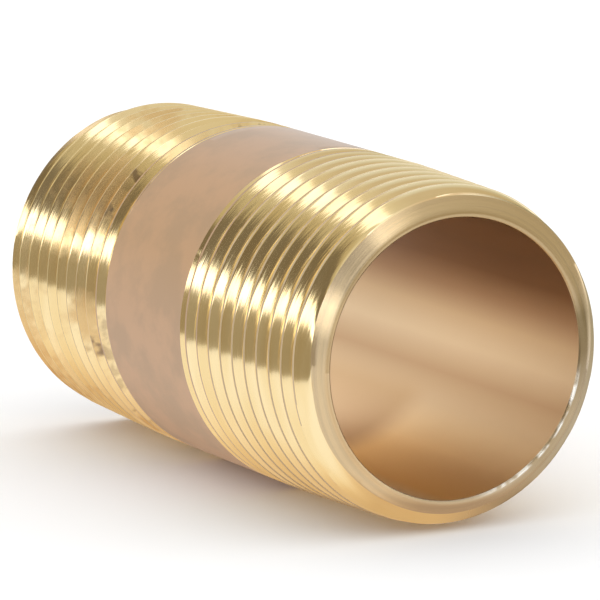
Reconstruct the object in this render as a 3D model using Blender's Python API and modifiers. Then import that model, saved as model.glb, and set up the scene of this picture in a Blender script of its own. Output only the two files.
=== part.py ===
"""Threaded brass pipe nipple, one inch by 2-1/2 inches.

One length of pipe, bored right through. A right-hand tapered pipe thread
(R 1, eleven threads to the inch) is cut on each end, and between the two
threads the pipe keeps its uncut skin.

Frame: +X along the pipe's axis, +Z up, origin on the axis at mid-length.
The pipe lies on its side. All dimensions are in metres.
"""
import math

import bmesh
import bpy

# ---------------------------------------------------------------- dimensions
INCH = 0.0254
PIPE_OD = 0.0337                  # one-inch nominal pipe
LENGTH = 2.5 * INCH               # 63.5 mm overall
BORE_D = 0.0272
PITCH = INCH / 11.0               # 2.309 mm
TAPER = 1.0 / 16.0                # on diameter
GAUGE_DIA = 0.033249              # crest diameter in the gauge plane
GAUGE_LENGTH = 0.0104             # from the end face to the gauge plane
THREAD_HEIGHT = 0.640327 * PITCH  # crest to root
FLANK = math.radians(27.5)        # half of the 55 degree thread angle
ROOT_FLAT = 0.00038               # a flat stands in for the rounded root
THREAD_LENGTH = {"near": 0.0239, "far": 0.0233}   # end face to the last mark
RISE_LENGTH = 0.0026              # where the last of a groove rises to the skin
CHAMFER_LENGTH = {"near": 0.0022, "far": 0.0009}   # along the axis
FACE_R = {"near": 0.0143, "far": 0.0159}          # outer edge of the flat end face
SHOULDER_R = 0.01566              # near end, where the steep cone meets the chamfer
SHOULDER_DEPTH = 0.0006
DEBURR = 0.00020                  # small bevel at each bore mouth
START = {"near": 28, "far": 18}   # side of the pipe on which each groove begins

# ---------------------------------------------------------------- resolution
SIDES = 32                        # flats round the pipe
FLATS = 1.0 / math.cos(math.pi / SIDES)  # puts the flats at the true radius

HALF_SIDE = math.pi / SIDES       # the pipe lies on a flat, not on an edge

OUTER_R = PIPE_OD / 2.0
BORE_R = BORE_D / 2.0
HALF = LENGTH / 2.0
CREST_R_END = (GAUGE_DIA - GAUGE_LENGTH * TAPER) / 2.0
ROOT_R_END = CREST_R_END - THREAD_HEIGHT


def crest_radius(depth):
    """Radius of the blank, at a distance from the end face."""
    cone = CREST_R_END + depth * TAPER / 2.0
    return min(cone, OUTER_R)


def root_radius(depth, thread_length):
    """Radius of the bottom of a groove, at a distance from the end face."""
    cone = ROOT_R_END + depth * TAPER / 2.0
    full_form = thread_length - RISE_LENGTH
    if depth <= full_form:
        return cone
    rise = (depth - full_form) / RISE_LENGTH
    return cone + rise * (OUTER_R - ROOT_R_END - full_form * TAPER / 2.0)


# ---------------------------------------------------------------- start clean
for old in list(bpy.data.objects):
    bpy.data.objects.remove(old, do_unlink=True)

scene = bpy.context.scene
nipple_set = bpy.data.collections.new("threaded_pipe_nipple")
cutter_set = bpy.data.collections.new("cutters")
scene.collection.children.link(nipple_set)
scene.collection.children.link(cutter_set)


def brass():
    """Dull brass with a brown skin, as one plain colour."""
    mat = bpy.data.materials.new("brass")
    mat.use_nodes = True
    bsdf = mat.node_tree.nodes["Principled BSDF"]
    bsdf.inputs["Base Color"].default_value = (0.56, 0.40, 0.17, 1.0)
    bsdf.inputs["Metallic"].default_value = 1.0
    bsdf.inputs["Roughness"].default_value = 0.35
    return mat


def profile_mesh(name, points, angle):
    """A closed outline of (radius, height), standing at an angle about Z."""
    mesh = bpy.data.meshes.new(name)
    bm = bmesh.new()
    c, s = math.cos(angle), math.sin(angle)
    verts = [bm.verts.new((r * c, r * s, z)) for r, z in points]
    for a, b in zip(verts, verts[1:]):
        bm.edges.new((a, b))
    bm.edges.new((verts[-1], verts[0]))
    bm.to_mesh(mesh)
    bm.free()
    return mesh


def evaluated_mesh(obj):
    """The mesh of an object with its modifiers applied."""
    bpy.context.view_layer.update()
    graph = bpy.context.evaluated_depsgraph_get()
    return bpy.data.meshes.new_from_object(obj.evaluated_get(graph))


# ---------------------------------------------------------------- the blank
def blank_profile():
    """Closed section of the turned blank: down the outside, up the bore."""
    full = (OUTER_R - CREST_R_END) / (TAPER / 2.0)   # where the cone meets the skin
    outside = [
        (FACE_R["near"], HALF),
        (SHOULDER_R, HALF - SHOULDER_DEPTH),
        (crest_radius(CHAMFER_LENGTH["near"]), HALF - CHAMFER_LENGTH["near"]),
        (OUTER_R, HALF - full),
        (OUTER_R, -(HALF - full)),
        (crest_radius(CHAMFER_LENGTH["far"]), -(HALF - CHAMFER_LENGTH["far"])),
        (FACE_R["far"], -HALF),
    ]
    inside = [
        (BORE_R + DEBURR, -HALF),
        (BORE_R, -(HALF - DEBURR)),
        (BORE_R, HALF - DEBURR),
        (BORE_R + DEBURR, HALF),
    ]
    return [(r * FLATS, z) for r, z in outside + inside]


nipple = bpy.data.objects.new(
    "pipe_nipple", profile_mesh("pipe_nipple", blank_profile(), HALF_SIDE))
nipple_set.objects.link(nipple)
nipple.data.materials.append(brass())
nipple.rotation_euler = (0.0, math.radians(90.0), 0.0)

turn = nipple.modifiers.new("turned", 'SCREW')
turn.axis = 'Z'
turn.angle = 2.0 * math.pi
turn.steps = SIDES
turn.render_steps = SIDES
turn.use_merge_vertices = True
turn.merge_threshold = 0.00001
turn.use_smooth_shade = True


# ---------------------------------------------------------------- the threads
TURNS = 12
LEAD_IN = 0.0014                  # the groove begins this far off the end face


def groove_section():
    """Closed section of a groove, as height above its root and axial place."""
    half_root = ROOT_FLAT / 2.0
    half_top = PITCH / 2.0 - 0.00002
    top = (half_top - half_root) / math.tan(FLANK)
    clear = top + 0.0012
    return [
        (clear, half_top), (top, half_top), (0.0, half_root),
        (0.0, -half_root), (top, -half_top), (clear, -half_top),
    ]


def groove_cutter(name, end, start, thread_length):
    """A helical groove for the end at +Z (end = 1) or at -Z (end = -1)."""
    first = HALF_SIDE + start * 2.0 * HALF_SIDE
    points = [(ROOT_R_END + h, z) for h, z in groove_section()]
    obj = bpy.data.objects.new(name, profile_mesh(name, points, first))
    cutter_set.objects.link(obj)
    helix = obj.modifiers.new("helix", 'SCREW')
    helix.axis = 'Z'
    helix.angle = 2.0 * math.pi
    helix.screw_offset = PITCH
    helix.iterations = TURNS
    helix.steps = SIDES
    helix.render_steps = SIDES
    helix.use_merge_vertices = False
    swept = evaluated_mesh(obj)
    obj.modifiers.remove(helix)
    obj.data = swept

    bm = bmesh.new()
    bm.from_mesh(swept)
    bmesh.ops.remove_doubles(bm, verts=bm.verts, dist=1e-8)
    rim = [e for e in bm.edges if e.is_boundary]
    bmesh.ops.holes_fill(bm, edges=rim, sides=0)

    # The section keeps its shape all the way. It slides out along the radius as
    # far as the taper takes it, and at the end of the thread it rises out of
    # the pipe.
    length = TURNS * PITCH
    for vert in bm.verts:
        x, y, z = vert.co
        radius = math.hypot(x, y)
        turned = ((math.atan2(y, x) - first) % (2.0 * math.pi)) / (2.0 * math.pi)
        centre = PITCH * (round(z / PITCH - turned) + turned)
        depth = (length - centre if end > 0 else centre) - LEAD_IN
        new_radius = (radius + root_radius(depth, thread_length) - ROOT_R_END) * FLATS
        vert.co.x = x * new_radius / radius
        vert.co.y = y * new_radius / radius
        vert.co.z = z - LEAD_IN - HALF if end < 0 else z - length + LEAD_IN + HALF

    bmesh.ops.recalc_face_normals(bm, faces=bm.faces)
    bm.to_mesh(swept)
    bm.free()
    obj.rotation_euler = (0.0, math.radians(90.0), 0.0)
    obj.hide_render = True
    obj.display_type = 'WIRE'
    return obj


for key, end in (("near", 1), ("far", -1)):
    cutter = groove_cutter("groove_cutter_" + key, end, START[key], THREAD_LENGTH[key])
    cut = nipple.modifiers.new("thread_" + key, 'BOOLEAN')
    cut.operation = 'DIFFERENCE'
    cut.solver = 'EXACT'
    cut.object = cutter

# The cuts leave points that all but touch, and straight edges split in two.
weld = nipple.modifiers.new("weld", 'WELD')
weld.merge_threshold = 0.00001
tidy = nipple.modifiers.new("tidy", 'DECIMATE')
tidy.decimate_type = 'DISSOLVE'
tidy.angle_limit = math.radians(1.0)
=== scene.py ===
"""Looks for the threaded brass pipe nipple, R 1 by 63.5 mm.

One mesh stands for the CAD node. Its outside is a height over (x, angle): real
helical grooves with the R 1 form, turned chamfers, end faces and bore, and the
uncut band between the threads. Lengths in the geometry section are millimetres.
"""
import math

import bmesh
import bpy
import numpy as np
from mathutils import Matrix


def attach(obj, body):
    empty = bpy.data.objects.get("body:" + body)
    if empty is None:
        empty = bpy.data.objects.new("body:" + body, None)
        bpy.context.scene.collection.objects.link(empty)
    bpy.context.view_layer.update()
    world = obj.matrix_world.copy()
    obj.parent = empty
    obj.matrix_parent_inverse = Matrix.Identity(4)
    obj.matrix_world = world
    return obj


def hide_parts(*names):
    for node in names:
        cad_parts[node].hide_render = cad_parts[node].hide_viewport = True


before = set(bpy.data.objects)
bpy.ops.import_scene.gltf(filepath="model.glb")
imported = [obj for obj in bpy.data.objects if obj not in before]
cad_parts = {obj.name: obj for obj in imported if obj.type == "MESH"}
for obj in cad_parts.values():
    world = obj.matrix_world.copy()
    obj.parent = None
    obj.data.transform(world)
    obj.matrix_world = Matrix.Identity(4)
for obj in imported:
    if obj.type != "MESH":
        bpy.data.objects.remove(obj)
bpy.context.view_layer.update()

MM = 0.001

# ------------------------------------------------------------------ dimensions
R_SKIN = 16.85
HALF = 31.75
PITCH = 25.4 / 11.0
TAPER = 1.0 / 32.0                 # on radius
CREST_END = 16.2995
HEIGHT = 0.640327 * PITCH
CREST_ROUND = 0.09                 # the crests are nearly sharp
FLANK = math.radians(27.5)
BORE_R = 13.6
MOUTH_R = 13.74
# Outer edge of the flat end face; radius and depth where the steep cone meets
# the chamfer; length of the chamfer.
FACE_R = {1: 14.05, -1: 15.95}
SHOULDER = {1: (15.66, 0.60), -1: (16.08, 0.25)}
CHAMFER = {1: 2.2, -1: 0.9}
COLUMNS = 288
PER_TURN = 12                      # rows of the grid in one pitch

psi = np.arange(COLUMNS) * 2.0 * math.pi / COLUMNS


def steps_round(seed, size):
    """Small jumps from one chaser of the die to the next, as a function of psi."""
    local = np.random.default_rng(seed)
    edges = np.sort((np.arange(5) * 72.0 + local.uniform(-14.0, 14.0, 5)) % 360.0)
    value = local.uniform(-size, size, 6)
    value[5] = value[0]
    return value[np.searchsorted(edges, np.degrees(psi))]


# Direction of each end, axial place of a crest at angle 0, and the edge of the
# uncut band.
ENDS = {
    "near": {"sign": 1.0, "crest0": 8.34 - PITCH * 138.1 / 360.0,
             "band": 7.46 + steps_round(3, 0.05)},
    "far": {"sign": -1.0, "crest0": -11.03 - PITCH * 138.1 / 360.0,
            "band": -8.47 + steps_round(8, 0.05)},
}


# ------------------------------------------------------------------ thread form
TAN, SIN, COS = math.tan(FLANK), math.sin(FLANK), math.cos(FLANK)
S_TOP = CREST_ROUND * COS          # half-width of the rounded crest
S_CREST = PITCH / 2.0 - S_TOP
# The root's round takes up what is left of the height.
ROOT_ROUND = ((HEIGHT - CREST_ROUND * (1.0 - SIN)) * TAN - S_CREST) / ((1.0 - SIN) * TAN - COS)
S_ROOT = ROOT_ROUND * COS


def form(s):
    """Height above the root, at an axial distance s from the groove's middle."""
    s = np.abs(s)
    c = np.abs(PITCH / 2.0 - s)
    root = ROOT_ROUND - np.sqrt(ROOT_ROUND ** 2 - np.minimum(s, S_ROOT) ** 2)
    flank = ROOT_ROUND * (1.0 - SIN) + (s - S_ROOT) / TAN
    crest = HEIGHT - CREST_ROUND + np.sqrt(CREST_ROUND ** 2 - np.minimum(c, S_TOP) ** 2)
    return np.where(s <= S_ROOT, root, np.where(c <= S_TOP, crest, flank))


TABLE_S = np.linspace(0.0, PITCH / 2.0, 2001)
TABLE_H = form(TABLE_S)


def root_radius(centre):
    return CREST_END + (HALF - np.abs(centre)) * TAPER - HEIGHT


def offset(end, x):
    """Signed distance from the middle of the nearest groove."""
    e = ENDS[end]
    base = e["crest0"] + 0.5 * PITCH + PITCH * psi / (2.0 * math.pi)
    return (x - base + PITCH / 2.0) % PITCH - PITCH / 2.0


def thread_radius(end, x, s):
    """Where the die's lead-in ends, the groove's bottom climbs to the band."""
    lead = R_SKIN - np.maximum(np.abs(x) - np.abs(ENDS[end]["band"]), 0.0) * 1.55
    return np.minimum(np.maximum(root_radius(x - s) + form(s), lead), R_SKIN)


def end_radius(x):
    """The steep cone at the end face, and the chamfer over the first crests."""
    side = 1 if np.mean(x) > 0 else -1
    (radius, at), length = SHOULDER[side], CHAMFER[side]
    top = CREST_END + length * TAPER
    return np.interp(HALF - np.abs(x), [0.0, at, length], [FACE_R[side], radius, top])


def helical_rows(end):
    """Rows that follow the groove: axial place and distance from its middle."""
    e = ENDS[end]
    rows = []
    for k in range(-14, 15):
        mid = e["crest0"] + PITCH * (k + 0.5) + PITCH * psi / (2.0 * math.pi)
        lift = R_SKIN - root_radius(mid)
        edge = np.interp(lift, TABLE_H, TABLE_S)
        top = np.where(lift < HEIGHT - 1e-6, edge, PITCH / 2.0 - 0.45 * S_TOP)
        tangent = np.minimum(S_CREST, top - 0.02)
        half = [S_ROOT, S_ROOT + 0.07, tangent - 0.05, tangent, top]
        half = [h + 0.0 * psi for h in half]
        for s in [-h for h in half[::-1]] + [0.0 * psi] + half:
            rows.append((mid + s, s))
        rows.append((mid + PITCH / 2.0, 0.0 * psi + PITCH / 2.0))
    return rows


# ------------------------------------------------------------------ outer rows
rows_x, rows_r, rows_s = [], [], []
seams = []                          # blocks of helical rows


def add_row(x, r, s=0.0):
    rows_x.append(np.broadcast_to(x, psi.shape).astype(float))
    rows_r.append(np.broadcast_to(r, psi.shape).astype(float))
    rows_s.append(np.broadcast_to(s, psi.shape).astype(float))


def add_chamfer(end, fractions):
    side = int(ENDS[end]["sign"])
    at = 1.0 - SHOULDER[side][1] / CHAMFER[side]
    for t in sorted(list(fractions) + [at], reverse=side < 0):
        x = side * (HALF - CHAMFER[side] * (1.0 - t))
        s = offset(end, x)
        add_row(x, np.minimum(thread_radius(end, x, s), end_radius(x)))


def add_thread(end):
    e = ENDS[end]
    inner, outer = np.abs(e["band"]), HALF - CHAMFER[int(e["sign"])] + 0.0 * psi
    lo, hi = (inner, outer) if e["sign"] > 0 else (-outer, -inner)
    first = len(rows_x)
    for x, s in helical_rows(end):
        if x.max() < lo.min() - 1.2 * PITCH or x.min() > hi.max() + 1.2 * PITCH:
            continue
        used = np.clip(x, lo, hi)
        free = np.abs(used - x) < 1e-9
        s = np.where(free, s, offset(end, used))
        add_row(used, thread_radius(end, used, s), np.where(free, s, 0.0))
    seams.append((first, len(rows_x)))


steps = [0.08, 0.16, 0.24, 0.32, 0.40, 0.48, 0.56, 0.63, 0.78, 0.85, 0.92, 1.0]
add_chamfer("far", steps)
add_thread("far")
lo, hi = ENDS["far"]["band"], ENDS["near"]["band"]
for t in np.linspace(0.0, 1.0, 11)[1:-1]:
    add_row(lo + t * (hi - lo), R_SKIN)
add_thread("near")
add_chamfer("near", steps)
outer_rows = len(rows_x)

# near face, bore mouth, bore, far mouth, far face
add_row(HALF, 0.5 * (FACE_R[1] + MOUTH_R))
add_row(HALF, MOUTH_R)
add_row(HALF - 0.05, MOUTH_R - 0.08)
add_row(HALF - 0.14, BORE_R)
bore_first = len(rows_x) - 1
for t in np.linspace(0.0, 1.0, 9)[1:-1]:
    add_row((HALF - 0.14) * (1.0 - 2.0 * t), BORE_R)
add_row(-HALF + 0.14, BORE_R)
bore_last = len(rows_x) - 1
add_row(-HALF + 0.05, MOUTH_R - 0.08)
add_row(-HALF, MOUTH_R)
add_row(-HALF, 0.5 * (FACE_R[-1] + MOUTH_R))

X = np.array(rows_x)
R = np.array(rows_r)
S = np.array(rows_s)
ROWS = len(rows_x)
print("rows", ROWS, "blocks", seams)
co = np.stack([X, R * np.cos(psi), R * np.sin(psi)], axis=-1).reshape(-1, 3) * MM

CUT, SKIN, BORE, CREST, RIM = 0, 1, 2, 3, 4


def across_seam(row):
    """The row of the first column that meets this row of the last column."""
    for a, b in seams:
        if a <= row < b:
            return min(row + PER_TURN, b - 1)
    return row


faces, kinds = [], []
for i in range(ROWS):
    j = (i + 1) % ROWS
    for c in range(COLUMNS):
        if c < COLUMNS - 1:
            ring = ((i, c), (i, c + 1), (j, c + 1), (j, c))
        else:
            ring = ((i, c), (across_seam(i), 0), (across_seam(j), 0), (j, c))
        faces.append([a * COLUMNS + b for a, b in ring])
        if i < outer_rows - 1:
            top = min(R[a, b] for a, b in ring)
            on_crest = min(abs(S[a, b]) for a, b in ring) > S_CREST - 1e-3
            end_side = 1 if X[ring[0]] > 0 else -1
            on_rim = min(abs(X[a, b]) for a, b in ring) > HALF - SHOULDER[end_side][1] - 1e-6
            kinds.append(SKIN if top > R_SKIN - 1e-4 else RIM if on_rim
                         else CREST if on_crest else CUT)
        else:
            kinds.append(BORE if bore_first <= i < bore_last else RIM)

mesh = bpy.data.meshes.new("pipe_nipple_visual")
mesh.from_pydata([tuple(v) for v in co], [], faces)
mesh.polygons.foreach_set("material_index", kinds)
bm = bmesh.new()
bm.from_mesh(mesh)
bmesh.ops.remove_doubles(bm, verts=bm.verts, dist=1e-7)
bmesh.ops.dissolve_degenerate(bm, edges=bm.edges, dist=1e-7)
bmesh.ops.recalc_face_normals(bm, faces=bm.faces)
loose = [v for v in bm.verts if not v.link_faces]
bmesh.ops.delete(bm, geom=loose, context='VERTS')
open_edges = sum(1 for e in bm.edges if len(e.link_faces) != 2)
print("visual mesh", len(bm.verts), "verts", len(bm.faces), "faces",
      sum(len(f.verts) - 2 for f in bm.faces), "triangles", open_edges, "open edges")
bm.to_mesh(mesh)
bm.free()
mesh.shade_smooth()
mesh.set_sharp_from_angle(angle=math.radians(32.0))

nipple = bpy.data.objects.new("nipple_visual", mesh)
bpy.context.scene.collection.objects.link(nipple)


# ------------------------------------------------------------------ materials
def new_material(name):
    mat = bpy.data.materials.new(name)
    mat.use_nodes = True
    nodes, links = mat.node_tree.nodes, mat.node_tree.links
    return mat, nodes, links, nodes["Principled BSDF"]


def math_node(nodes, links, op, a, b=None, c=None):
    n = nodes.new("ShaderNodeMath")
    n.operation = op
    for i, v in enumerate((a, b, c)):
        if v is None:
            continue
        if isinstance(v, (int, float)):
            n.inputs[i].default_value = v
        else:
            links.new(v, n.inputs[i])
    return n.outputs[0]


def wrapped(nodes, links):
    """x in millimetres, and the angle round the axis in radians."""
    tc = nodes.new("ShaderNodeTexCoord")
    sep = nodes.new("ShaderNodeSeparateXYZ")
    links.new(tc.outputs["Object"], sep.inputs[0])
    x = math_node(nodes, links, 'MULTIPLY', sep.outputs[0], 1000.0)
    angle = math_node(nodes, links, 'ARCTAN2', sep.outputs[2], sep.outputs[1])
    return x, angle, sep


def combine(nodes, links, x, y, z):
    n = nodes.new("ShaderNodeCombineXYZ")
    for i, v in enumerate((x, y, z)):
        if isinstance(v, (int, float)):
            n.inputs[i].default_value = v
        else:
            links.new(v, n.inputs[i])
    return n.outputs[0]


def streaks(nodes, links, across, along):
    """Noise in streaks round the pipe: fine along the axis, long round it."""
    x, angle, sep = wrapped(nodes, links)
    cy = math_node(nodes, links, 'COSINE', angle)
    sy = math_node(nodes, links, 'SINE', angle)
    v = combine(nodes, links,
                math_node(nodes, links, 'MULTIPLY', x, across),
                math_node(nodes, links, 'MULTIPLY', cy, along),
                math_node(nodes, links, 'MULTIPLY', sy, along))
    n = nodes.new("ShaderNodeTexNoise")
    n.inputs["Scale"].default_value = 1.0
    n.inputs["Detail"].default_value = 3.0
    n.inputs["Roughness"].default_value = 0.6
    links.new(v, n.inputs["Vector"])
    return n.outputs["Fac"]


def mixed(nodes, links, fac, a, b):
    """A colour between a and b; each is a colour or a socket."""
    n = nodes.new("ShaderNodeMix")
    n.data_type = 'RGBA'
    links.new(fac, n.inputs[0])
    for socket, v in ((n.inputs[6], a), (n.inputs[7], b)):
        if isinstance(v, tuple):
            socket.default_value = (*v, 1.0)
        else:
            links.new(v, socket)
    return n.outputs[2]


def colours(nodes, links, value, stops):
    """A ramp of (position, colour)."""
    n = nodes.new("ShaderNodeValToRGB")
    els = n.color_ramp.elements
    while len(els) > 1:
        els.remove(els[-1])
    for i, (pos, col) in enumerate(stops):
        if i == 0:
            els[0].position = pos
            e = els[0]
        else:
            e = els.new(pos)
        e.color = (*col, 1.0)
    links.new(value, n.inputs[0])
    return n.outputs[0]


def grey_level(factors):
    """Factors up to 2, halved to fit in a ramp."""
    return tuple(v / 2.0 for v in factors)


def spread(nodes, links, value, low, high):
    """Stretch low..high to 0..1, with soft ends."""
    n = nodes.new("ShaderNodeMapRange")
    n.interpolation_type = 'SMOOTHSTEP'
    n.inputs["From Min"].default_value = low
    n.inputs["From Max"].default_value = high
    links.new(value, n.inputs["Value"])
    return n.outputs["Result"]


def blotches(nodes, links, scale, detail, stretch=1.0):
    """Patchy noise in the object's own space, drawn out along the axis."""
    tc = nodes.new("ShaderNodeTexCoord")
    fit = nodes.new("ShaderNodeMapping")
    fit.inputs["Scale"].default_value = (1.0 / stretch, 1.0, 1.0)
    links.new(tc.outputs["Object"], fit.inputs["Vector"])
    n = nodes.new("ShaderNodeTexNoise")
    n.inputs["Scale"].default_value = scale
    n.inputs["Detail"].default_value = detail
    n.inputs["Roughness"].default_value = 0.6
    links.new(fit.outputs[0], n.inputs["Vector"])
    return n.outputs["Fac"]


# Bright cut brass. The far thread is stained in golden patches and has some
# darker marks in its grooves next to the band.
cut, nodes, links, bsdf = new_material("brass_cut")
x, angle, sep = wrapped(nodes, links)
clean = mixed(nodes, links, spread(nodes, links, streaks(nodes, links, 0.55, 0.6), 0.35, 0.65),
              (1.0, 0.83, 0.50), (0.93, 0.73, 0.385))
far_half = math_node(nodes, links, 'SUBTRACT', 1.0, spread(nodes, links, x, -12.5, -8.5))
patch = math_node(nodes, links, 'MULTIPLY', far_half,
                  spread(nodes, links, blotches(nodes, links, 130.0, 4.0, 1.6), 0.46, 0.62))
stains_and_painted_light = mixed(nodes, links, patch, clean, (0.84, 0.60, 0.30))
near_band = math_node(nodes, links, 'SUBTRACT', 1.0, spread(nodes, links, x, -17.0, -12.0))
near_band = math_node(nodes, links, 'SUBTRACT', far_half, near_band)
dark = math_node(nodes, links, 'MULTIPLY', near_band,
                 spread(nodes, links, blotches(nodes, links, 300.0, 3.0), 0.58, 0.68))
stains_and_painted_light = mixed(nodes, links, dark, stains_and_painted_light, (0.34, 0.24, 0.15))
# Along the top of the near thread each flank is painted paler next to its crest: a painted highlight.
ENDS_CREST = ENDS["near"]["crest0"]
phase = math_node(nodes, links, 'MULTIPLY_ADD', x, 1.0 / PITCH, -ENDS_CREST / PITCH + 20.0)
phase = math_node(nodes, links, 'MULTIPLY_ADD', angle, -0.5 / math.pi, phase)
phase = math_node(nodes, links, 'FRACT', phase)
painted_top_mask = math_node(nodes, links, 'MULTIPLY', spread(nodes, links, angle, 0.5, 0.9),
                   math_node(nodes, links, 'SUBTRACT', 1.0, spread(nodes, links, angle, 1.75, 2.0)))
painted_top_mask = math_node(nodes, links, 'MULTIPLY', painted_top_mask, spread(nodes, links, x, 6.0, 8.0))
lower = spread(nodes, links, phase, 0.035, 0.115)
# The bottom of each groove and the flank that faces the band are painted paler and less warm: painted light that
# offsets the warm glow reflected between the flanks.
groove = math_node(nodes, links, 'MULTIPLY', spread(nodes, links, phase, 0.24, 0.36),
                   spread(nodes, links, x, 8.9, 9.6))
groove = math_node(nodes, links, 'MULTIPLY', groove,
                   math_node(nodes, links, 'SUBTRACT', 1.0, spread(nodes, links, x, 29.2, 29.6)))
stains_and_painted_light = mixed(nodes, links, groove, stains_and_painted_light, (0.93, 0.79, 0.53))
painted_top_highlight = mixed(nodes, links, lower, (1.0, 0.92, 0.66), (0.80, 0.61, 0.34))
stains_and_painted_light = mixed(nodes, links, math_node(nodes, links, 'MULTIPLY', painted_top_mask, 0.85), stains_and_painted_light, painted_top_highlight)
# The near chamfer is painted darker on the +Y side, darker still on its upper part, with duller reflections
# there: painted shade. It is rougher there too.
on_chamfer = spread(nodes, links, x, HALF - 2.3, HALF - 1.9)
plus_y = spread(nodes, links, math_node(nodes, links, 'COSINE', angle), -0.15, 0.45)
upward = spread(nodes, links, angle, -0.5, 0.1)
painted_chamfer_shade = mixed(nodes, links, upward, (0.62, 0.52, 0.375), (0.42, 0.355, 0.24))
dull_wear_and_shade = math_node(nodes, links, 'MULTIPLY', on_chamfer, plus_y)
links.new(mixed(nodes, links, dull_wear_and_shade, stains_and_painted_light, painted_chamfer_shade), bsdf.inputs["Base Color"])
links.new(mixed(nodes, links, dull_wear_and_shade, (1.0, 1.0, 1.0), (0.30, 0.25, 0.17)), bsdf.inputs["Specular Tint"])
rough = math_node(nodes, links, 'MULTIPLY_ADD', patch, 0.16, 0.10)
links.new(math_node(nodes, links, 'MULTIPLY_ADD', dull_wear_and_shade, 0.35, rough), bsdf.inputs["Roughness"])
bsdf.inputs["Metallic"].default_value = 1.0
bump = nodes.new("ShaderNodeBump")
bump.inputs["Strength"].default_value = 0.40
bump.inputs["Distance"].default_value = 0.00003
links.new(streaks(nodes, links, 9.0, 1.6), bump.inputs["Height"])
links.new(bump.outputs[0], bsdf.inputs["Normal"])

# The uncut skin is tan to pink oxide, and mottled. Its change of tone round the pipe, greyer on top and pinker
# underneath, is partly the oxide and partly painted light and sheen.
skin, nodes, links, bsdf = new_material("brass_skin")
x, angle, sep = wrapped(nodes, links)
turn = math_node(nodes, links, 'MULTIPLY_ADD', angle, 0.5 / math.pi, 0.5)
TAN_SKIN, PINK_SKIN, GREY_SKIN = (0.425, 0.25, 0.125), (0.58, 0.385, 0.255), (0.335, 0.245, 0.182)
oxide_and_painted_light = colours(nodes, links, turn, [
    (0.0, (0.52, 0.33, 0.20)), (0.08, PINK_SKIN), (0.25, PINK_SKIN), (0.70, GREY_SKIN),
    (0.775, (0.38, 0.24, 0.142)), (0.85, TAN_SKIN), (0.93, (0.455, 0.272, 0.138)),
    (1.0, (0.52, 0.33, 0.20))])
blotch = nodes.new("ShaderNodeTexNoise")
blotch.inputs["Scale"].default_value = 170.0
blotch.inputs["Detail"].default_value = 6.0
blotch.inputs["Roughness"].default_value = 0.62
tc = nodes.new("ShaderNodeTexCoord")
links.new(tc.outputs["Object"], blotch.inputs["Vector"])
darker = nodes.new("ShaderNodeMix")
darker.data_type = 'RGBA'
darker.blend_type = 'MULTIPLY'
links.new(spread(nodes, links, blotch.outputs["Fac"], 0.40, 0.64), darker.inputs[0])
links.new(oxide_and_painted_light, darker.inputs[6])
darker.inputs[7].default_value = (0.86, 0.90, 0.92, 1.0)
links.new(darker.outputs[2], bsdf.inputs["Base Color"])
bsdf.inputs["Metallic"].default_value = 0.3
bsdf.inputs["Roughness"].default_value = 0.5

# The bore's colour round its axis is painted light and shade: dark brown on the upper wall, which faces down, and
# tan to orange lower down. It also has one faint darker line along it. Further in from the near end, the upper
# wall is painted a lighter brown and the lower wall a darker tan.
bore, nodes, links, bsdf = new_material("brass_bore")
x, angle, sep = wrapped(nodes, links)
turn = math_node(nodes, links, 'MULTIPLY_ADD', angle, 0.5 / math.pi, 0.5)
TAN_WALL, PALE_WALL, BROWN_WALL = (0.70, 0.51, 0.31), (0.98, 0.95, 0.90), (0.22, 0.105, 0.044)
painted_wall_light = colours(nodes, links, turn, [((deg + 180.0) / 360.0, c) for deg, c in (
    (-120, PALE_WALL), (-92, (1.0, 0.70, 0.30)), (-62, (1.0, 0.76, 0.44)),
    (-42, TAN_WALL), (-28, (0.52, 0.335, 0.185)), (-15, (0.68, 0.50, 0.31)),
    (-3, (0.58, 0.395, 0.225)), (8, (0.37, 0.215, 0.11)), (21, (0.20, 0.095, 0.038)),
    (35, (0.185, 0.085, 0.033)), (50, (0.24, 0.112, 0.045)),
    (66, (0.24, 0.112, 0.045)), (80, PALE_WALL))])
bottom = math_node(nodes, links, 'SUBTRACT', 1.0, spread(nodes, links, angle, -0.78, -0.52))
bottom = math_node(nodes, links, 'MULTIPLY', bottom, spread(nodes, links, angle, -1.9, -1.6))
deep = math_node(nodes, links, 'SUBTRACT', 1.0, spread(nodes, links, x, 3.5, 9.5))
innermost = math_node(nodes, links, 'SUBTRACT', 1.0, spread(nodes, links, x, -15.0, -9.0))
upper = math_node(nodes, links, 'MULTIPLY', spread(nodes, links, angle, 0.05, 0.25),
                  math_node(nodes, links, 'SUBTRACT', 1.0, spread(nodes, links, angle, 1.15, 1.4)))
painted_wall_light = mixed(nodes, links, math_node(nodes, links, 'MULTIPLY', innermost, upper), painted_wall_light, (0.55, 0.33, 0.13))
links.new(mixed(nodes, links, math_node(nodes, links, 'MULTIPLY', bottom, deep), painted_wall_light,
                (0.60, 0.40, 0.215)), bsdf.inputs["Base Color"])
bsdf.inputs["Metallic"].default_value = 1.0
bsdf.inputs["Roughness"].default_value = 0.40

# Crests are rubbed and dull, except towards the far end, where they are bright. On top they are painted paler: a
# painted highlight.
crest, nodes, links, bsdf = new_material("brass_crest")
x, angle, sep = wrapped(nodes, links)
dull_wear_and_shade = spread(nodes, links, x, -23.0, -14.0)
rubbed = mixed(nodes, links, dull_wear_and_shade, (0.95, 0.77, 0.43), (0.62, 0.465, 0.285))
painted_top_mask = math_node(nodes, links, 'MULTIPLY', spread(nodes, links, angle, 0.5, 0.9),
                   math_node(nodes, links, 'SUBTRACT', 1.0, spread(nodes, links, angle, 1.75, 2.0)))
links.new(mixed(nodes, links, painted_top_mask, rubbed, (0.84, 0.72, 0.48)), bsdf.inputs["Base Color"])
links.new(math_node(nodes, links, 'MULTIPLY_ADD', dull_wear_and_shade, -0.6, 1.0), bsdf.inputs["Metallic"])
bsdf.inputs["Roughness"].default_value = 0.45
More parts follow.
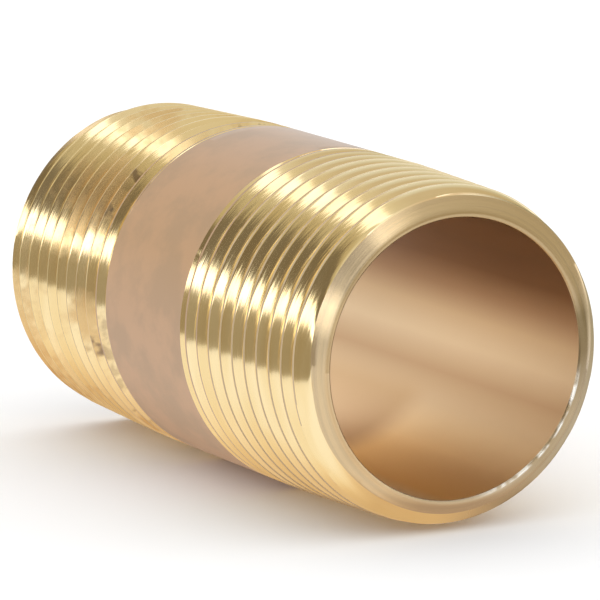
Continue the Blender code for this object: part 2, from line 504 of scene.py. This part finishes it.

# The turned end faces and cones are satin, with fine marks round them. Round the axis they carry painted
# highlights and painted shade: bands brighter and darker than the satin.
rim, nodes, links, bsdf = new_material("brass_rim")
x, angle, sep = wrapped(nodes, links)
turn = math_node(nodes, links, 'MULTIPLY_ADD', angle, 0.5 / math.pi, 0.5)
marks = streaks(nodes, links, 8.0, 0.5)
satin_and_painted_light = mixed(nodes, links, spread(nodes, links, marks, 0.40, 0.66),
              (0.77, 0.60, 0.37), (0.70, 0.545, 0.345))
# Painted shade and painted highlights round the axis, as factors on the satin colour.
RIM_PAINTED_SHADE, PLAIN_RIM, RIM_PAINTED_HIGHLIGHT = (0.58,) * 3, (0.90,) * 3, (1.25,) * 3
painted_rim_light = colours(nodes, links, turn, [((deg + 180.0) / 360.0, grey_level(c)) for deg, c in (
    (-145, (0.98,) * 3), (-124, (1.08, 1.14, 1.24)), (-105, (0.86, 0.91, 1.02)),
    (-70, (0.80, 0.86, 1.0)), (-48, (0.62,) * 3), (-28, (0.66,) * 3), (-12, (0.52,) * 3),
    (-2, (0.38, 0.36, 0.31)), (12, (0.41, 0.40, 0.35)), (22, (0.78,) * 3), (34, PLAIN_RIM),
    (104, (0.97,) * 3), (115, RIM_PAINTED_HIGHLIGHT), (123, RIM_PAINTED_HIGHLIGHT), (129, (0.75,) * 3),
    (139, RIM_PAINTED_SHADE), (147, RIM_PAINTED_SHADE), (155, RIM_PAINTED_HIGHLIGHT), (162, RIM_PAINTED_HIGHLIGHT), (168, (0.82,) * 3),
    (180, (0.98,) * 3))])
rim_light_mix = nodes.new("ShaderNodeMix")
rim_light_mix.data_type = 'RGBA'
rim_light_mix.blend_type = 'MULTIPLY'
rim_light_mix.inputs[0].default_value = 1.0
links.new(satin_and_painted_light, rim_light_mix.inputs[6])
links.new(painted_rim_light, rim_light_mix.inputs[7])
gain = nodes.new("ShaderNodeVectorMath")
gain.operation = 'SCALE'
gain.inputs["Scale"].default_value = 2.0
links.new(rim_light_mix.outputs[2], gain.inputs[0])
# Painted glints in places on the deburred edge of the bore, on the +Y side: painted highlights.
radius = math_node(nodes, links, 'SQRT', math_node(
    nodes, links, 'ADD', math_node(nodes, links, 'POWER', sep.outputs[1], 2.0),
    math_node(nodes, links, 'POWER', sep.outputs[2], 2.0)))
edge = math_node(nodes, links, 'SUBTRACT', 1.0, spread(nodes, links, radius, 0.01385, 0.0140))
low_right = math_node(nodes, links, 'MULTIPLY', spread(nodes, links, angle, -1.45, -1.15),
                      math_node(nodes, links, 'SUBTRACT', 1.0, spread(nodes, links, angle, -0.35, -0.1)))
painted_glint = math_node(nodes, links, 'MULTIPLY', math_node(nodes, links, 'MULTIPLY', edge, low_right),
                  spread(nodes, links, blotches(nodes, links, 420.0, 2.0), 0.42, 0.56))
# The flat ring round the bore mouth is painted darker on its upper side: painted shade.
ring = math_node(nodes, links, 'SUBTRACT', 1.0, spread(nodes, links, radius, 0.01402, 0.01425))
ring = math_node(nodes, links, 'MULTIPLY', ring, spread(nodes, links, angle, 0.2, 0.6))
satin_and_painted_light = mixed(nodes, links, math_node(nodes, links, 'MULTIPLY', ring, 0.75), gain.outputs[0], (0.58, 0.43, 0.235))
links.new(mixed(nodes, links, painted_glint, satin_and_painted_light, (1.0, 0.98, 0.92)), bsdf.inputs["Base Color"])
bsdf.inputs["Metallic"].default_value = 1.0
bsdf.inputs["Roughness"].default_value = 0.27
bump = nodes.new("ShaderNodeBump")
bump.inputs["Strength"].default_value = 0.35
bump.inputs["Distance"].default_value = 0.00004
links.new(marks, bump.inputs["Height"])
links.new(bump.outputs[0], bsdf.inputs["Normal"])

for m in (cut, skin, bore, crest, rim):
    mesh.materials.append(m)

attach(nipple, "root")
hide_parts("pipe_nipple")

# ------------------------------------------------------------------ floor
floor_mat, nodes, links, bsdf = new_material("floor")
bsdf.inputs["Base Color"].default_value = (0.93, 0.93, 0.93, 1.0)
bsdf.inputs["Roughness"].default_value = 0.9
bsdf.inputs["Specular IOR Level"].default_value = 0.0


def floor_piece(name, mat, azimuth, near, far, side):
    """A flat rectangle on the floor, from `near` to `far` metres out from the
    nipple in one direction."""
    c, s = math.cos(math.radians(azimuth)), math.sin(math.radians(azimuth))
    pts = [(u * c - v * s, u * s + v * c, -R_SKIN * MM)
           for u, v in ((near, -side), (far, -side), (far, side), (near, side))]
    m = bpy.data.meshes.new(name)
    m.from_pydata(pts, [], [(0, 1, 2, 3)])
    m.materials.append(mat)
    o = bpy.data.objects.new(name, m)
    bpy.context.scene.collection.objects.link(o)
    return o


floor = floor_piece("floor", floor_mat, -28.6, -4.0, 4.0, 4.0)
floor.visible_glossy = False

# A glowing sheet under the nipple shows only in the metal, as a light panel. Close to the nipple it is painted
# warm and dimmer: a painted contact shadow, warmed by painted light from the brass.
sheet_mat, nodes, links, bsdf = new_material("lit_sheet")
nodes.remove(bsdf)
x, angle, sep = wrapped(nodes, links)
away = math_node(nodes, links, 'MULTIPLY', math_node(nodes, links, 'ABSOLUTE', sep.outputs[1]), 1000.0 / 40.0)
beyond = spread(nodes, links, x, 31.0, 40.0)
away = math_node(nodes, links, 'MULTIPLY_ADD', beyond, 0.25, away)
under_far = math_node(nodes, links, 'SUBTRACT', 1.0, spread(nodes, links, x, -22.0, 16.0))
away = math_node(nodes, links, 'MULTIPLY_ADD', under_far, -0.10, away)
glow = nodes.new("ShaderNodeEmission")
links.new(colours(nodes, links, away, [
    (0.20, (0.70, 0.54, 0.40)), (0.32, (0.84, 0.69, 0.54)), (0.42, (0.95, 0.85, 0.73)),
    (0.60, (0.99, 0.95, 0.90)), (1.0, (1.0, 0.98, 0.96))]), glow.inputs["Color"])
glow.inputs["Strength"].default_value = 1.03
links.new(glow.outputs[0], nodes["Material Output"].inputs[0])
sheet = floor_piece("lit_sheet", sheet_mat, -47.0, -0.035, 0.1009, 4.0)
sheet.visible_camera = False
sheet.visible_diffuse = False
sheet.visible_shadow = False

# ------------------------------------------------------------------ studio light
world = bpy.data.worlds.new("studio")
bpy.context.scene.world = world
world.use_nodes = True
world.cycles.sampling_method = 'NONE'
nodes, links = world.node_tree.nodes, world.node_tree.links
nodes.clear()
out = nodes.new("ShaderNodeOutputWorld")
tc = nodes.new("ShaderNodeTexCoord")
sep = nodes.new("ShaderNodeSeparateXYZ")
links.new(tc.outputs["Generated"], sep.inputs[0])
el = math_node(nodes, links, 'ARCSINE', sep.outputs[2])
el01 = math_node(nodes, links, 'MULTIPLY_ADD', el, 1.0 / math.pi, 0.5)
az = math_node(nodes, links, 'ARCTAN2', sep.outputs[1], sep.outputs[0])


def ramp(stops):
    """A colour for each elevation."""
    return colours(nodes, links, el01, [((deg + 90.0) / 180.0, c) for deg, c in stops])


def grey(v, tint=(1.0, 1.0, 1.0)):
    return tuple(v * t / 4.0 for t in tint)   # ramp colours are scaled back by 4


WARM = (1.0, 0.86, 0.68)
DIM, LOW, OLIVE, PALE = (0.20, 0.17, 0.13), (0.37, 0.32, 0.24), (0.56, 0.50, 0.36), (0.72, 0.68, 0.58)


def tone(rgb):
    return grey(1.0, rgb)


SOFTBOX = [(6.9, grey(2.3)), (13.2, grey(2.3)), (14.3, tone(DIM))]
UPPER = [(29.5, tone(DIM)), (31.0, tone(OLIVE)), (38.0, tone(OLIVE)), (44.0, tone(PALE)),
         (90, grey(0.9))]
low_left = ramp([(-90, tone(LOW)), (5.8, tone(LOW))] + SOFTBOX + UPPER)
left = ramp([(-90, grey(0.95)), (3.0, grey(0.95))] + SOFTBOX + UPPER)
strip = ramp([(-90, grey(0.95)), (6.0, grey(0.95)), (10.0, grey(1.6)), (50.0, grey(1.6)),
              (60.0, grey(0.9)), (90, grey(0.9))])
right = ramp([(-90, tone(OLIVE)), (15.0, tone(OLIVE)), (36.0, tone(PALE)), (90, grey(0.9))])
az_deg = math_node(nodes, links, 'MULTIPLY', az, 180.0 / math.pi)
front = mixed(nodes, links, spread(nodes, links, az_deg, -20.0, -16.0), low_left, left)
front = mixed(nodes, links, spread(nodes, links, az_deg, 0.4, 2.4), front, strip)
front = mixed(nodes, links, spread(nodes, links, az_deg, 10.5, 13.5), front, right)
back = ramp([
    (-90, grey(1.9)), (34.0, grey(1.9)), (48.0, grey(0.8, WARM)), (90, grey(0.8)),
])
VIEW_SIDE = math.radians(-10.0)
flat = nodes.new("ShaderNodeCombineXYZ")
links.new(sep.outputs[0], flat.inputs[0])
links.new(sep.outputs[1], flat.inputs[1])
unit = nodes.new("ShaderNodeVectorMath")
unit.operation = 'NORMALIZE'
links.new(flat.outputs[0], unit.inputs[0])
toward = nodes.new("ShaderNodeVectorMath")
toward.operation = 'DOT_PRODUCT'
toward.inputs[1].default_value = (math.cos(VIEW_SIDE), math.sin(VIEW_SIDE), 0.0)
links.new(unit.outputs[0], toward.inputs[0])
blend = nodes.new("ShaderNodeMapRange")
blend.interpolation_type = 'SMOOTHSTEP'
blend.inputs["From Min"].default_value = -0.25
blend.inputs["From Max"].default_value = 0.15
links.new(toward.outputs["Value"], blend.inputs["Value"])
side = spread(nodes, links, sep.outputs[1], -0.3, 0.1)
back = mixed(nodes, links, side, grey(1.3), back)
# Straight behind the bore it is dimmer, so that the bore has shading end on.
behind = math_node(nodes, links, 'MULTIPLY', sep.outputs[0], -1.0)
back = mixed(nodes, links, spread(nodes, links, behind, 0.935, 0.98), back, grey(0.55, WARM))
both = nodes.new("ShaderNodeMix")
both.data_type = 'RGBA'
links.new(blend.outputs["Result"], both.inputs[0])
links.new(back, both.inputs[6])
links.new(front, both.inputs[7])
scaled = nodes.new("ShaderNodeVectorMath")
scaled.operation = 'SCALE'
scaled.inputs["Scale"].default_value = 4.0
links.new(both.outputs[2], scaled.inputs[0])

path = nodes.new("ShaderNodeLightPath")
bg_gloss = nodes.new("ShaderNodeBackground")
links.new(scaled.outputs[0], bg_gloss.inputs["Color"])
bg_soft = nodes.new("ShaderNodeBackground")
bg_soft.inputs["Color"].default_value = (1.0, 1.0, 1.0, 1.0)
bg_soft.inputs["Strength"].default_value = 1.22
mix = nodes.new("ShaderNodeMixShader")
links.new(path.outputs["Is Glossy Ray"], mix.inputs[0])
links.new(bg_soft.outputs[0], mix.inputs[1])
links.new(bg_gloss.outputs[0], mix.inputs[2])
links.new(mix.outputs[0], out.inputs[0])

# ------------------------------------------------------------------ camera
cam_data = bpy.data.cameras.new("camera")
cam_data.lens = 336.4975
cam_data.sensor_width = 36.0
cam_data.clip_start = 0.01
cam_data.clip_end = 50.0
cam = bpy.data.objects.new("camera", cam_data)
bpy.context.scene.collection.objects.link(cam)
cam.matrix_world = Matrix((
    (0.47921203, -0.16101096, 0.86280432, 0.48131897),
    (0.87769917, 0.08790984, -0.47107965, -0.26233159),
    (0.0, 0.98302967, 0.18344664, 0.10282914),
    (0.0, 0.0, 0.0, 1.0),
))
bpy.context.scene.camera = cam
bpy.context.scene.view_settings.view_transform = 'Standard'
